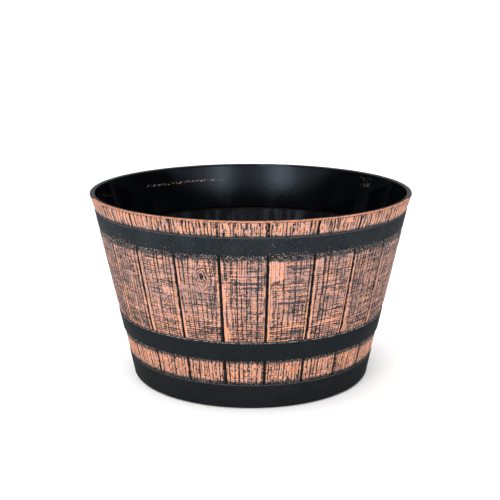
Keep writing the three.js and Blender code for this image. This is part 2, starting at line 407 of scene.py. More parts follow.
def glossy_inside():
    """The smooth upper inside: glossy blue-black, with a line of scuffs behind and a nick on the right."""
    material = new_material("glossy_inside", linear(6, 7, 9), roughness=0.05, specular=0.22)
    n = Nodes(material)
    n.shader.inputs["Specular Tint"].default_value = (0.68, 0.83, 1.0, 1)
    place = n.place()
    aside, back, height = n.split(place)
    behind = n.ramp(back, 0.0, 0.05)
    uneven = n.math("ADD", height, n.spots(place, 40, 2, 0.3, 0.7, -0.0008, 0.0008))
    dots = n.spots(place, 480, 2, 0.55, 0.6)
    scuffs = n.times(n.between(uneven, *SCUFF_HEIGHTS), n.between(aside, *SCUFF_ACROSS), behind, dots)
    chips = n.spots(place, 330, 3, 0.57, 0.64, 0.0, 0.35)
    nick = n.times(n.between(height, *NICK_HEIGHTS), n.between(aside, *NICK_ACROSS), behind, chips)
    flow = n.noise(n.place((1, 1, 0.08)), 45, detail=3)
    black = n.mix(flow, (1, 2, 3), (5, 6, 8))
    n.colour(n.mix(n.math("MAXIMUM", scuffs, nick), black, (160, 136, 128)))
    n.roughness(n.ramp(flow, 0.3, 0.7, 0.04, 0.06))
    n.bump(n.noise(n.place((1, 1, 0.03)), 600, detail=1), 1.0, 0.00001)
    return material


def dull_inside():
    """Below the inner ledge: duller, with a painted reflection in streaks up the back wall, and evenly sanded
    on the floor.
    """
    material = new_material("dull_inside", linear(8, 9, 11), roughness=0.4, specular=0.08)
    n = Nodes(material)
    place = n.place()
    x, y, height = n.split(place)
    aside = n.math("ABSOLUTE", x)
    # Painted reflection: the pale streaks show only in two bands either side of the middle, towards the back
    glint_mask = n.times(n.ramp(aside, 0.0, 0.035, 0.35, 1.0), n.ramp(aside, 0.09, 0.055, 0.35, 1.0))
    glint_mask = n.times(glint_mask, n.ramp(y, 0.02, 0.09, 0.4, 1.0))
    streaks = n.noise(n.place((1, 1, 0.05)), 60, detail=4, roughness=0.6)
    drawn = n.mix(n.times(n.ramp(streaks, 0.42, 0.66), glint_mask), (6, 7, 9), (44, 49, 55))
    # Painted shade: nearly black just below the ledge, so that the ledge shows no light line
    at_ledge = n.step(height, INNER_LEDGE_HEIGHT, -4.0, -1.5)
    drawn = n.mix(at_ledge, drawn, (1, 1, 2))
    sand = n.noise(place, 800, detail=3)
    sanded = n.mix(n.ramp(sand, 0.35, 0.7), (13, 14, 16), (26, 27, 30))
    dusty = n.spots(place, 26, 4, 0.4, 0.7, 0.0, 0.3)
    sanded = n.mix(dusty, sanded, (38, 37, 36))
    on_floor = n.step(height, FLOOR_TOP, 13.0, 1.0)
    n.colour(n.mix(on_floor, drawn, sanded))
    n.roughness(n.ramp(streaks, 0.3, 0.7, 0.36, 0.5))
    n.bump(sand, 0.1, 0.0002)
    return material


def matt_ledge():
    """The inner ledge, which stays in the dark of the upper wall."""
    material = new_material("matt_ledge", linear(3, 3, 4), roughness=0.7, specular=0.0)
    n = Nodes(material)
    n.colour(n.mix(n.noise(n.place(), 240, detail=2), (1, 1, 2), (6, 6, 8)))
    return material


def painted_rim():
    """The rim: grey-black, nearly black at the front, with copper brushed over its outer edge."""
    material = new_material("painted_rim", linear(52, 53, 55), roughness=0.6, specular=0.2)
    n = Nodes(material)
    place = n.place()
    haze = n.noise(place, 240, detail=3)
    brush = n.noise(place, 520, detail=3)
    x, y, z = n.split(place)
    radius = n.math("SQRT", n.math("ADD", n.times(x, x), n.times(y, y)))
    front = n.ramp(y, -0.052, -0.075)
    flank = n.step(z, HEIGHT, -0.6, -1.5)
    edge = n.step(radius, RIM_RADIUS, -2.2, -1.2)
    over = n.math("MAXIMUM", flank, n.times(front, edge))
    over = n.ramp(n.math("ADD", over, n.ramp(brush, 0.3, 0.7, -0.4, 0.2)), 0.35, 0.75)
    grey = n.mix(n.ramp(haze, 0.35, 0.7), (30, 31, 33), (50, 50, 51))
    grey = n.mix(front, grey, n.mix(haze, (3, 3, 4), (14, 14, 15)))
    outer = n.step(radius, RIM_RADIUS, -3.4, -2.0)
    smudge = n.times(n.spots(place, 32, 2, 0.53, 0.58), n.ramp(y, 0.06, 0.1))
    smudge = n.times(smudge, outer, n.ramp(brush, 0.38, 0.52))
    copper = n.mix(n.ramp(brush, 0.3, 0.55), (125, 80, 62), (200, 132, 102))
    side = n.step(z, HEIGHT, -0.3, -0.9)
    dashes = n.spots(n.place((1, 1, 0.06)), 420, 2, 0.52, 0.6, 0.0, 0.85)
    copper = n.mix(n.times(dashes, side), copper, (70, 54, 50))
    n.colour(n.mix(n.math("MAXIMUM", over, smudge), grey, copper))
    n.bump(haze, 0.2, 0.0003)
    return material


def plug_rubber():
    material = new_material("plug_rubber", linear(28, 29, 31), roughness=0.75, specular=0.3)
    n = Nodes(material)
    dust = n.noise(n.place(), 420, detail=4)
    n.colour(n.mix(n.ramp(dust, 0.4, 0.75), (14, 15, 17), (34, 34, 36)))
    n.roughness(n.ramp(dust, 0.3, 0.7, 0.66, 0.82))
    n.bump(dust, 0.3, 0.0002)
    return material


# --- Modelling by hand


def set_mode(mode):
    bpy.ops.object.mode_set(mode=mode)


def activate(obj):
    """Leaves obj as the only selected object and the active one, in object mode."""
    if bpy.context.object and bpy.context.object.mode != "OBJECT":
        set_mode("OBJECT")
    bpy.ops.object.select_all(action="DESELECT")
    bpy.context.view_layer.objects.active = obj
    obj.select_set(True)


def edit(obj):
    activate(obj)
    set_mode("EDIT")


def select_faces(obj, wanted):
    """In edit mode, selects the faces for which wanted(face) is true, and nothing else."""
    set_mode("OBJECT")
    for v in obj.data.vertices:
        v.select = False
    for e in obj.data.edges:
        e.select = False
    for face in obj.data.polygons:
        face.select = bool(wanted(face))
    set_mode("EDIT")
    bpy.ops.mesh.select_mode(type="FACE")


def widen(share, height, middle=(0, 0)):
    """Resizes what is selected by share, in its own plane at a height, about the axis through middle."""
    bpy.ops.transform.resize(value=(share, share, 1), center_override=(*middle, height * MM))


def extrude(rise):
    bpy.ops.mesh.extrude_region_move(TRANSFORM_OT_translate={"value": (0, 0, rise * MM)})


def raise_ring(ring, now, middle=(0, 0)):
    """Extrudes the selected disc from now to ring, each a radius and a height in millimetres."""
    (radius, height), (old_radius, old_height) = ring, now
    extrude(height - old_height)
    widen(radius / old_radius, height, middle)
    return ring


def apply_modifier(obj, kind, **settings):
    activate(obj)
    modifier = obj.modifiers.new(kind.title(), kind)
    for name, value in settings.items():
        setattr(modifier, name, value)
    bpy.ops.object.modifier_apply(modifier=modifier.name)


def smooth_by_angle(obj, degrees):
    activate(obj)
    bpy.ops.object.shade_smooth_by_angle(angle=math.radians(degrees))


def turn(obj, angle):
    """Turns obj about Z, and keeps its place and its turn in the mesh."""
    obj.rotation_euler.z = angle
    activate(obj)
    bpy.ops.object.transform_apply()


def add_cylinder(name, radius, bottom, top, place=(0, 0), sides=48, ends="NGON"):
    bpy.ops.mesh.primitive_cylinder_add(
        vertices=sides,
        radius=radius * MM,
        depth=(top - bottom) * MM,
        end_fill_type=ends,
        location=(*place, (top + bottom) / 2 * MM),
    )
    cylinder = just_added(name)
    bpy.ops.object.transform_apply()
    return cylinder


def add_block(name, middle, size):
    bpy.ops.mesh.primitive_cube_add(size=1, location=[c * MM for c in middle])
    block = just_added(name)
    block.scale = [c * MM for c in size]
    bpy.ops.object.transform_apply()
    return block


def ride_tub(piece):
    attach(piece, "tub")
    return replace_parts(piece, "barrel_tub")


def join_tub(piece, material, degrees):
    """Gives a piece of the tub its finish, and smooth shading over edges of up to so many degrees."""
    piece.data.materials.append(material)
    smooth_by_angle(piece, degrees)
    return ride_tub(piece)


def coordinates(mesh):
    flat = np.empty(len(mesh.vertices) * 3, np.float32)
    mesh.vertices.foreach_get("co", flat)
    return flat.reshape(-1, 3).astype(float)


def move_vertices(mesh, places):
    mesh.vertices.foreach_set("co", np.asarray(places, np.float32).ravel())
    mesh.update()


def arc(start, corner, end, steps):
    """Points of a rounded corner from start to end, start left out."""
    points = []
    for i in range(1, steps + 1):
        t = i / steps
        near, middle, far = (1 - t) ** 2, 2 * t * (1 - t), t * t
        points.append(tuple(near * a + middle * b + far * c for a, b, c in zip(start, corner, end)))
    return points


# --- The tub's shell: foot, base band, bed of the staves, rim, inside and floor


def bed_radius(height):
    """The wall behind the staves, which shows at the bottom of their grooves."""
    return stave_radius(height) - GROOVE_DEPTH


def upper_inside(height):
    return stave_radius(height) - WALL_THICKNESS


def lower_inside(height):
    return upper_inside(height) - INNER_LEDGE


def shell_rings():
    """Radius and height of each ring, from the foot up the outside and down the inside to the floor."""
    low_face = stave_radius(BASE_CORNER) + BASE_PROUD_BOTTOM
    high_face = stave_radius(BASE_TOP) + BASE_PROUD_TOP
    rings = [(STAND_OUTER_RADIUS, 0.0)]
    rings += arc(rings[-1], (low_face - 0.5, 0.0), (low_face, BASE_CORNER), 6)
    rings += [(high_face, BASE_TOP - BASE_EDGE)]
    rings += arc(rings[-1], (high_face, BASE_TOP), (high_face - BASE_EDGE, BASE_TOP), 3)
    rings += [(bed_radius(BASE_TOP), BASE_TOP)]
    lip_bottom = HEIGHT - LIP_HEIGHT
    rings += [(bed_radius(lip_bottom), lip_bottom), (stave_radius(lip_bottom) + 0.3, lip_bottom)]
    rings += [(RIM_RADIUS, HEIGHT - RIM_EDGE)]
    rings += arc(rings[-1], (RIM_RADIUS, HEIGHT), (RIM_RADIUS - RIM_EDGE, HEIGHT), 4)
    inner = STAVE_TOP_RADIUS - WALL_THICKNESS
    rings += [(inner + RIM_EDGE, HEIGHT)]
    rings += arc(rings[-1], (inner, HEIGHT), (inner - 0.3, HEIGHT - RIM_EDGE), 4)
    ledge = INNER_LEDGE_HEIGHT
    rings += [(upper_inside(h), h) for h in (HEIGHT - 2.4, 200.0, ledge + 2.4, ledge + 1.2, ledge + 0.4)]
    rings += arc(rings[-1], (upper_inside(ledge), ledge), (lower_inside(ledge - 0.8) + 0.3, ledge - 0.5), 3)
    fillet_top = FLOOR_TOP + FLOOR_FILLET
    heights = (ledge - 1.1, ledge - 1.9, 120.0, 70.0, fillet_top + 2, fillet_top)
    rings += [(lower_inside(h), h) for h in heights]
    corner = lower_inside(FLOOR_TOP)
    rings += arc(rings[-1], (corner, FLOOR_TOP), (corner - FLOOR_FILLET, FLOOR_TOP), 8)
    return rings


def make_shell(materials):
    foot, first, *others = shell_rings()
    shell = add_cylinder("tub_shell", foot[0], foot[1], first[1], sides=TUB_SIDES)
    edit(shell)
    select_faces(shell, lambda face: face.normal.z > 0.9)
    widen(first[0] / foot[0], first[1])
    now = first
    for ring in others:
        now = raise_ring(ring, now)
    select_faces(shell, lambda face: face.normal.z < -0.9 and face.center.xy.length < 1 * MM)
    now = raise_ring((STAND_INNER_RADIUS, 0.0), foot)
    raise_ring((STAND_INNER_RADIUS - 1, FLOOR_UNDERSIDE), now)
    set_mode("OBJECT")
    for material in materials:
        shell.data.materials.append(material)
    for face in shell.data.polygons:
        face.material_index = shell_finish(face)
    smooth_by_angle(shell, 35)
    return ride_tub(shell)


def shell_finish(face):
    """0 outside and under, 1 inside above the ledge, 2 the rim, 3 inside below the ledge, 4 the ledge."""
    x, y, z = face.center
    radius, height = math.hypot(x, y) / MM, z / MM
    if height > HEIGHT - LIP_HEIGHT - 0.1 and radius > STAVE_TOP_RADIUS - WALL_THICKNESS + 0.1:
        return 2
    inwards = x * face.normal.x + y * face.normal.y < 0
    outside = radius > stave_radius(height) - 3 or not (inwards or face.normal.z > 0.9)
    if outside or height < FLOOR_UNDERSIDE + 1:
        return 0
    if height > INNER_LEDGE_HEIGHT + 1.3:
        return 1
    return 4 if height > INNER_LEDGE_HEIGHT - 1.2 else 3


def make_hoop(name, band, material):
    """A flat band that follows the wall's slope, with eased edges."""
    bottom, top = band["bottom"], band["top"]
    low, high = stave_radius(bottom) + band["proud_bottom"], stave_radius(top) + band["proud_top"]
    hoop = add_cylinder(name, low, bottom, top, sides=TUB_SIDES, ends="NOTHING")
    edit(hoop)
    bpy.ops.mesh.select_mode(type="VERT")
    bpy.ops.mesh.select_all(action="DESELECT")
    set_mode("OBJECT")
    for v in hoop.data.vertices:
        v.select = v.co.z > (top + bottom) / 2 * MM
    set_mode("EDIT")
    widen(high / low, top)
    set_mode("OBJECT")
    apply_modifier(hoop, "SOLIDIFY", thickness=HOOP_THICKNESS * MM, offset=-1, use_even_offset=True)
    apply_modifier(hoop, "BEVEL", width=HOOP_EDGE * MM, segments=3, limit_method="ANGLE")
    return join_tub(hoop, material, 40)


# --- The staves' grain
# u runs across a stave's face in millimetres, from -STAVE_HALF to STAVE_HALF, and v is the height.
# Both are arrays, u a row and v a column, so that what depends on both is a grid over the face.

PANEL_TOP = UPPER_HOOP["bottom"]
PANEL_BOTTOM = LOWER_HOOP["top"]
# Where a stave's knot lies, across and up, and its half-width. The first, left of the front, shows most.
KNOTS = {
    20: (4.6, 165.0, 5.8), 2: (0.0, 128, 2.6), 5: (-6, 150, 3.6), 9: (4, 120, 4.2),
    13: (2, 172, 3.8), 16: (-5, 138, 4.4), 18: (6, 160, 3.2),
}
# Strokes that stand out on the front staves: stave, across from and to, height, rise, thickness, and
# how far the stroke takes the paint away (below 0) or lays it on (above 0).
STROKES = [
    (0, -6, 18, 149, 0.5, 1.4, -1.0),
    (0, 2, 20, 174, 1.5, 1.5, -0.8),
    (0, -12, 16, 133.5, 1.0, 2.2, -0.75),
    (0, -9, 20, 103, 2.0, 1.5, 0.6),
    (0, 4, 20, 117, 1.5, 1.4, -0.8),
    (0, 2, 18, 98.5, 1.5, 1.8, -0.7),
    (21, -17, 20, 168.5, 0.0, 1.2, 0.6),
    (21, -16, 14, 165.2, 0.0, 1.2, 0.6),
    (21, 2, 14, 173, 0.5, 2.2, -0.7),
    (21, -14, 20, 158.5, 0.0, 1.8, -0.55),
    (21, 0, 20, 153.5, 0.5, 2.0, -0.65),
    (21, 2, 21, 122, 0.0, 1.6, -0.7),
    (21, 0, 20, 107, 0.5, 0.9, 0.4),
    (21, 0, 20, 101.5, 0.0, 1.0, -0.45),
    (1, -14, 20, 148.5, 4.0, 1.3, -0.9),
    (1, -18, 21, 103.5, 4.5, 1.6, 0.6),
    (1, -4, 20, 119.5, 3.0, 1.6, -0.65),
    (19, -17, 6, 143.5, -1.0, 1.0, -0.55),
    (19, -12, 10, 139, -1.0, 1.2, -0.6),
    (20, -20, 12, 131, 0.0, 1.0, -0.5),
]

# The staves whose panels are painted darker as shade, and by how much: on the right, away from the strong
# softbox, and towards the left end
SHADED_STAVES = {2: 0.11, 3: 0.11, 4: 0.1, 17: 0.08, 18: 0.09}
# Heights that tell the stretches of a stave's face apart: the two strips, and the panel's upper half
LOW_STRIP_BELOW = 75.0
PANEL_MIDDLE = 150.0
TOP_STRIP_ABOVE = 200.0
# Heights from which and to which the paint grows full beside the hoops and the base band
TOP_STRIP_PAINT = (212.0, 217.5)
PANEL_TOP_PAINT = (188.5, 184.5)
LOW_STRIP_TOP_PAINT = (62.8, 58.0)
LOW_STRIP_FOOT_PAINT = (33.0, 37.5)


def stave_angle(number):
    """Where a stave's middle lies, from the front towards +X."""
    return FIRST_SEAM + (number + 0.5) * STAVE_PITCH


def turned_aside(number):
    """0 for a stave at the front or the back, 1 for one at the side."""
    return abs(math.sin(stave_angle(number)))


def ease(low, high, x):
    t = np.clip((x - low) / (high - low), 0, 1)
    return t * t * (3 - 2 * t)


def bar(distance, half_width):
    """1 along the middle of a line, falling off steeply at its half-width."""
    return np.exp(-((distance / half_width) ** 4))


def drift(rng, u, v, patch_u, patch_v):
    """A smooth random field from -1 to 1 whose patches measure patch_u by patch_v."""
    across, along = (np.asarray(u, float) + 500) / patch_u, (np.asarray(v, float) + 500) / patch_v
    column, row = np.floor(across).astype(int), np.floor(along).astype(int)
    across, along = across - column, along - row
    across, along = across * across * (3 - 2 * across), along * along * (3 - 2 * along)
    column, row = column - column.min(), row - row.min()
    values = rng.uniform(-1, 1, (column.max() + 2, row.max() + 2))
    near = values[column, row] * (1 - across) + values[column + 1, row] * across
    far = values[column, row + 1] * (1 - across) + values[column + 1, row + 1] * across
    return near * (1 - along) + far * along


def fibres(rng, x, v, gap, width, wobble, dash, share):
    """Darkness of lines that run up the stave in dashes. share is how much of each line is there."""
    dark = np.zeros_like(x)
    middle = -STAVE_HALF - 3 + rng.uniform(0, gap[1])
    while middle < STAVE_HALF + 3:
        path = middle + wobble * (drift(rng, 0, v, 9, 30) + 0.35 * drift(rng, 0, v, 9, 6))
        there = ease(-0.15, 0.15, drift(rng, 0, v, 9, dash) + 2 * share - 1)
        spread = width * rng.uniform(0.8, 1.3) * (0.75 + 0.25 * there)
        dark = np.maximum(dark, there * rng.uniform(0.6, 1.15) * bar(x - path, spread))
        middle += rng.uniform(*gap)
    return dark


def saw_marks(rng, u, v, gap, width, dash, share, span):
    """Darkness of lines that run across the stave, between the two heights of span."""
    dark = np.zeros((v.shape[0], u.shape[1]))
    height = span[0] + rng.uniform(0, gap[0])
    tilt = rng.uniform(-0.03, 0.03)
    while height < span[1]:
        path = height + tilt * u + 0.35 * drift(rng, u, 0, 14, 9)
        there = ease(-0.2, 0.3, drift(rng, u, 0, dash, 9) + 2 * share - 1)
        spread = width * rng.uniform(0.7, 1.3)
        dark = np.maximum(dark, there * rng.uniform(0.5, 1.1) * bar(v - path, spread))
        height += rng.uniform(*gap)
    return dark


def brush_marks(rng, u, v, count, length, width, left):
    """Short marks of the brush across the panel, right of the share `left` of the stave's half width."""
    marks = np.zeros((v.shape[0], u.shape[1]))
    for _ in range(count):
        height = rng.uniform(PANEL_BOTTOM + 3, PANEL_TOP - 4)
        middle, reach = rng.uniform(left, 0.95) * STAVE_HALF, rng.uniform(*length) / 2
        path, thick = height + 0.3 * drift(rng, u, 0, 8, 9), rng.uniform(*width)
        ends = ease(reach, reach * 0.6, np.abs(u - middle))
        marks = np.maximum(marks, rng.uniform(0.6, 1.0) * ends * bar(v - path, thick))
    return marks


def strokes(rng, number, u, v):
    """The front staves' own strokes: how much paint they take away or lay on."""
    change = np.zeros((v.shape[0], u.shape[1]))
    for stave, start, end, height, rise, thickness, amount in STROKES:
        if stave == number:
            along = (u - start) / (end - start)
            path = height + rise * along + 0.3 * drift(rng, u, 0, 7, 9)
            ends = ease(-0.02, 0.12, along) * ease(1.02, 0.88, along)
            ragged = 0.75 + 0.35 * drift(rng, u, v, 2.5, 1.4)
            change = change + amount * ragged * ends * bar(v - path, thickness * 0.6)
    return change


def knot_pull(u, v, knot):
    """How far a knot pushes the grain aside, and each spot's distance from it in knot sizes."""
    ku, kv, size = knot
    across, along = (u - ku) / size, (v - kv) / (size * 1.45)
    across = across * (1 + 0.2 * np.clip(along, 0, 1.2))
    push = 0.95 * size * np.tanh(1.5 * across) * np.exp(-(across ** 2) / 3.5 - along ** 2 / 4)
    open_below = np.where(along < 0, 0.65 * along, along)
    return push, np.sqrt(across ** 2 + open_below ** 2), ease(-1.3, 0.1, along)


def clean_share(rng, number, u, v):
    """Where the brush left the paint whole: the left margin, wider towards the foot, and a patch or two."""
    margin = 1.9 + 3.2 * drift(rng, 0, v, 9, 22) + 1.1 * drift(rng, 0, v, 9, 4)
    margin = margin + 5.0 * ease(128, 92, v) * ease(-0.5, 0.6, drift(rng, 0, v, 9, 30))
    if number == 0:
        margin = np.maximum(margin, 17 * ease(158, 164, v) * ease(191, 184, v))
    left = ease(margin + 1.3, margin - 1.3, u + STAVE_HALF)
    right = 0.8 * ease(2.6, 1.2, STAVE_HALF - u) * ease(-0.6, 0.1, drift(rng, 0, v, 9, 18))
    patch = 0.5 * ease(0.6, 0.9, drift(rng, u, v, 11, 17))
    return np.maximum(np.maximum(left, right), patch)


def knot_rings(rng, u, v, far, arched):
    """A knot's dark rings, and how far each spot belongs to the knot and to its core."""
    turns = 2.3 * far + 0.45 * drift(rng, u, v, 4.0, 5.0) + 0.2 * drift(rng, u, v, 1.8, 2.2)
    rings = (0.5 + 0.5 * np.cos(2 * math.pi * turns)) * (0.8 + 0.4 * drift(rng, u, v, 2.5, 3.5))
    return rings * (0.45 + 0.55 * arched), ease(1.9, 1.0, far), ease(0.44, 0.22, far)


def grain(number, u, v):
    """Paint cover, grey smear, stipple (each 0 to 1) and relief in millimetres over a stave's face."""
    rng = np.random.default_rng(4100 + number)

    def field(patch_u, patch_v):
        return drift(rng, u, v, patch_u, patch_v)

    x = u + 0.9 * field(24, 70) + 0.3 * field(6, 12)
    knot = KNOTS.get(number)
    if knot:
        push, far, arched = knot_pull(u, v, knot)
        x = x - push

    # What is cut into the stave and what the brush left on it
    cracks = fibres(rng, x, v, gap=(3.8, 7.2), width=0.56, wobble=0.8, dash=26, share=0.72)
    hairs = fibres(rng, x, v, gap=(2.0, 4.4), width=0.42, wobble=0.8, dash=12, share=0.5)
    tufts = ease(0.34, 0.62, drift(rng, x, v, 0.7, 3.6))
    bristles = fibres(rng, x, v, gap=(1.8, 4.2), width=0.44, wobble=0.5, dash=3.5, share=0.45)
    rows = saw_marks(rng, u, v, gap=(2.0, 3.9), width=0.45, dash=15, share=0.62, span=(26, 232))
    even = saw_marks(rng, u, v, gap=(2.5, 2.9), width=0.5, dash=14, share=0.8, span=(84, 110))
    bold = brush_marks(rng, u, v, 7, length=(10, 30), width=(0.6, 1.0), left=-0.1)
    smears = brush_marks(rng, u, v, 14, length=(10, 24), width=(0.8, 1.7), left=0.0)
    bright = brush_marks(rng, u, v, 16, length=(12, 42), width=(0.45, 0.8), left=-0.3)

    # How much of each spot is the panel between the hoops, clean, rubbed or sawn
    panel = ease(PANEL_BOTTOM - 2, PANEL_BOTTOM + 2, v) * ease(PANEL_TOP + 2, PANEL_TOP - 2, v)
    clean = clean_share(rng, number, u, v) * panel
    speck = field(0.9, 1.0)
    streak = field(5.5, 1.3)
    curl = drift(rng, x, v, 1.3, 5.0)
    rubbed = ease(-0.7, 0.9, field(12, 17)) * (0.35 + 0.65 * ease(-STAVE_HALF, 12, u))
    low_panel = ease(114, 106, v) * panel
    low_third = ease(128, 100, v) * panel
    sawn = 0.5 + 0.5 * field(15, 24)
    if knot:
        sawn = sawn * (1 - 0.6 * ease(STAVE_HALF, 8, np.abs(u - knot[0])) * ease(100, 112, v))
    broken = 0.25 + 0.75 * ease(-0.2, 0.4, field(5, 5))
    deep = cracks * (1 - 0.35 * clean) * np.where(v > TOP_STRIP_ABOVE, broken, 1.0)
    hairs = hairs * (1.25 - 0.6 * sawn)
    cross = rows * (0.4 + 0.6 * panel) * (0.42 + 0.85 * sawn) * (1 + 0.3 * low_third)
    cross = np.maximum(cross, 1.1 * even * low_panel)
    cross = cross * (1 - 0.8 * clean)

    # The paint that all this leaves
    rough = panel * (1 - clean)
    cover = 0.96 - (0.205 + 0.13 * rubbed) * rough
    cover = cover + (0.34 * speck + 0.15 * streak) * rough + (0.14 * speck + 0.12 * curl) * (1 - rough)
    cover = cover + 0.3 * bright * rough
    upright = 1 - 0.3 * low_third
    cover = cover - (0.74 + 0.1 * (1 - panel)) * deep * upright
    cover = cover - 0.52 * hairs * upright * (1 - 0.6 * clean) - 0.52 * cross
    own = strokes(rng, number, u, v)
    cover = cover - 0.3 * bold * rough + own
    haze = 0.3 * ease(-0.4, 0.7, field(14, 24)) * ease(92, 130, v)
    smear = np.maximum(0.5 * smears, haze) * rough * (0.8 + 0.6 * speck) * (1 - bright)
    smear = np.clip(np.maximum(smear, -0.9 * own), 0, 1)

    # The strips past the hoops are drier; the panels at the sides and of the staves listed for shade get
    # painted shade
    patchy = ease(-0.6, 0.5, field(9, 6))
    aside = turned_aside(number)
    dashes = np.maximum(0.5 * tufts * patchy, 1.05 * bristles) * (1 - 0.45 * ease(0.5, 0.9, aside))
    dry_top = 0.85 * dashes + 0.35 * hairs + 0.25 * ease(0.8, 0.5, cover)
    dry_foot = 0.12 + 0.6 * dashes - 0.3 * speck
    cover = cover - dry_top * (v > TOP_STRIP_ABOVE) - dry_foot * (v < LOW_STRIP_BELOW)
    cover = cover - 0.4 * cross * ease(46, 40, v)
    # Painted shade: less cover on the panels at the sides, and on the staves listed for shade, where less
    # light falls
    cover = cover - (0.12 + 0.1 * curl) * ease(0.86, 0.97, aside) * panel
    cover = cover - SHADED_STAVES.get(number, 0) * panel
    relief = -0.5 * deep - 0.2 * hairs - 0.25 * cross - 0.25 * bold * rough + 0.07 * speck
    if knot:
        rings, inside, core = knot_rings(rng, u, v, far, arched)
        cover = cover * (1 - inside) + inside * (0.88 - 1.15 * rings - 0.8 * core + 0.2 * speck)
        relief = relief * (1 - inside) - 0.45 * inside * rings
    ends, stipple = paint_ends(rng, number, u, v)
    return np.clip(cover, 0, 1) * ends, smear, stipple, relief


def paint_ends(rng, number, u, v):
    """Where the brush stopped short of the bands and the grooves, 0 bare, and where it left only stipple."""
    wave = drift(rng, u, 0, 10, 9)
    strand = 0.5 + 0.5 * drift(rng, u, 0, 1.6, 9)
    top = ease(*TOP_STRIP_PAINT, v + 0.7 * wave + 1.5 * strand)
    panel = ease(*PANEL_TOP_PAINT, v + 1.6 * wave + 2.4 * strand)
    low = ease(*LOW_STRIP_TOP_PAINT, v + 0.3 * wave + 2.0 * strand + 4.0 * turned_aside(number) ** 3)
    low = low * ease(*LOW_STRIP_FOOT_PAINT, v - 0.5 * wave + strand)
    stretches = [v > TOP_STRIP_ABOVE, v > PANEL_MIDDLE, v < LOW_STRIP_BELOW]
    ends = np.select(stretches, [top, panel, low], 1.0)
    stipple = np.select(stretches, [0.6 * (1 - top), 1 - panel, 1 - low], 0.0)
    edge = ease(STAVE_HALF + 0.3, STAVE_HALF - 0.5, np.abs(u) + 0.4 * drift(rng, 0, v, 9, 3))
    return ends * edge, stipple


# --- The staves

STAVE_COLUMNS = 108
STAVE_DEPTH = 1.9  # how far a stave's board reaches into the shell, past the grooves' roots
EDGE_ROUNDING = 1.0
STAVE_BOTTOM = BASE_TOP - 0.3
STAVE_TOP = HEIGHT - LIP_HEIGHT + 0.1
# Heights between which the rows of a stave's face are laid, and how many rows each stretch has. The
# stretches behind the hoops need few.
ROW_STRETCHES = [
    (STAVE_BOTTOM, LOWER_HOOP["bottom"] + 0.8, 52),
    (LOWER_HOOP["top"] - 0.8, UPPER_HOOP["bottom"] + 0.8, 172),
    (UPPER_HOOP["top"] - 0.8, STAVE_TOP, 27),
]


def stave_heights():
    return np.concatenate([np.linspace(low, high, rows) for low, high, rows in ROW_STRETCHES])


def stave_blank():
    """A board of unit width and height, with a fine grid on its front and its back closed."""
    rows = sum(stretch[2] for stretch in ROW_STRETCHES) - 1
    bpy.ops.mesh.primitive_grid_add(x_subdivisions=STAVE_COLUMNS, y_subdivisions=rows, size=1)
    blank = bpy.context.object
    edit(blank)
    bpy.ops.mesh.select_all(action="SELECT")
    bpy.ops.mesh.extrude_region_move(TRANSFORM_OT_translate={"value": (0, 0, 1)})
    bpy.ops.mesh.select_mode(type="EDGE")
    bpy.ops.mesh.select_all(action="DESELECT")
    bpy.ops.mesh.select_non_manifold()
    bpy.ops.mesh.edge_face_add()
    bpy.ops.mesh.select_all(action="SELECT")
    bpy.ops.mesh.normals_make_consistent(inside=False)
    set_mode("OBJECT")
    return blank


def swell(height):
    """How far, in millimetres, a stave's raised face stands out past the straight line of the wall."""
    panel = ease(PANEL_TOP + 1, PANEL_TOP - 9, height) * ease(PANEL_BOTTOM - 1, PANEL_BOTTOM + 12, height)
    top = 1.3 * ease(UPPER_HOOP["top"] - 1, HEIGHT - 6, height)
    return panel + top


def place_on_wall(angle, radius, height):
    return np.stack([radius * np.sin(angle), -radius * np.cos(angle), height], -1) * MM


def make_stave(number, blank, material):
    """Bends a copy of the board round the wall and presses its own grain into the face."""
    stave = blank.copy()
    stave.data = blank.data.copy()
    stave.name = f"stave_{number + 1:02d}"
    bpy.context.collection.objects.link(stave)
    mesh = stave.data
    flat = coordinates(mesh)
    heights = stave_heights()
    column = np.rint((flat[:, 0] + 0.5) * STAVE_COLUMNS).astype(int)
    row = np.rint((flat[:, 1] + 0.5) * (len(heights) - 1)).astype(int)
    front = flat[:, 2] > 0.5
    across = np.linspace(-STAVE_HALF, STAVE_HALF, STAVE_COLUMNS + 1)
    cover, smear, stipple, relief = grain(number, across[None, :], heights[:, None])
    rounding = np.clip(np.abs(across) - STAVE_HALF + EDGE_ROUNDING, 0, EDGE_ROUNDING) / EDGE_ROUNDING
    relief = relief - 0.5 * rounding[None, :] ** 2

    u, v = across[column], heights[row]
    face = stave_radius(v)
    narrowing = ease(UPPER_HOOP["bottom"], UPPER_HOOP["top"], v)
    mouth = GROOVE_MOUTH - (GROOVE_MOUTH - TOP_GROOVE_MOUTH) * narrowing
    gap = np.where(front, mouth, GROOVE_ROOT) / 2
    angle = stave_angle(number) + u / STAVE_HALF * (STAVE_PITCH / 2 - gap / face)
    radius = face + np.where(front, relief[row, column] + swell(v), -STAVE_DEPTH)
    move_vertices(mesh, place_on_wall(angle, radius, v))
    brushwork = np.ones((len(flat), 4))
    for channel, values in enumerate((cover, smear, stipple)):
        brushwork[:, channel] = np.where(front, np.clip(values, 0, 1)[row, column], 0)
    attribute = mesh.attributes.new("brushwork", "FLOAT_COLOR", "POINT")
    attribute.data.foreach_set("color", brushwork.astype(np.float32).ravel())
    lay_out_stave(mesh, u / STAVE_HALF / 2 + 0.5, (v - STAVE_BOTTOM) / (STAVE_TOP - STAVE_BOTTOM), front)
    return join_tub(stave, material, 60)


def integers(items, name):
    values = np.empty(len(items), np.int32)
    items.foreach_get(name, values)
    return values


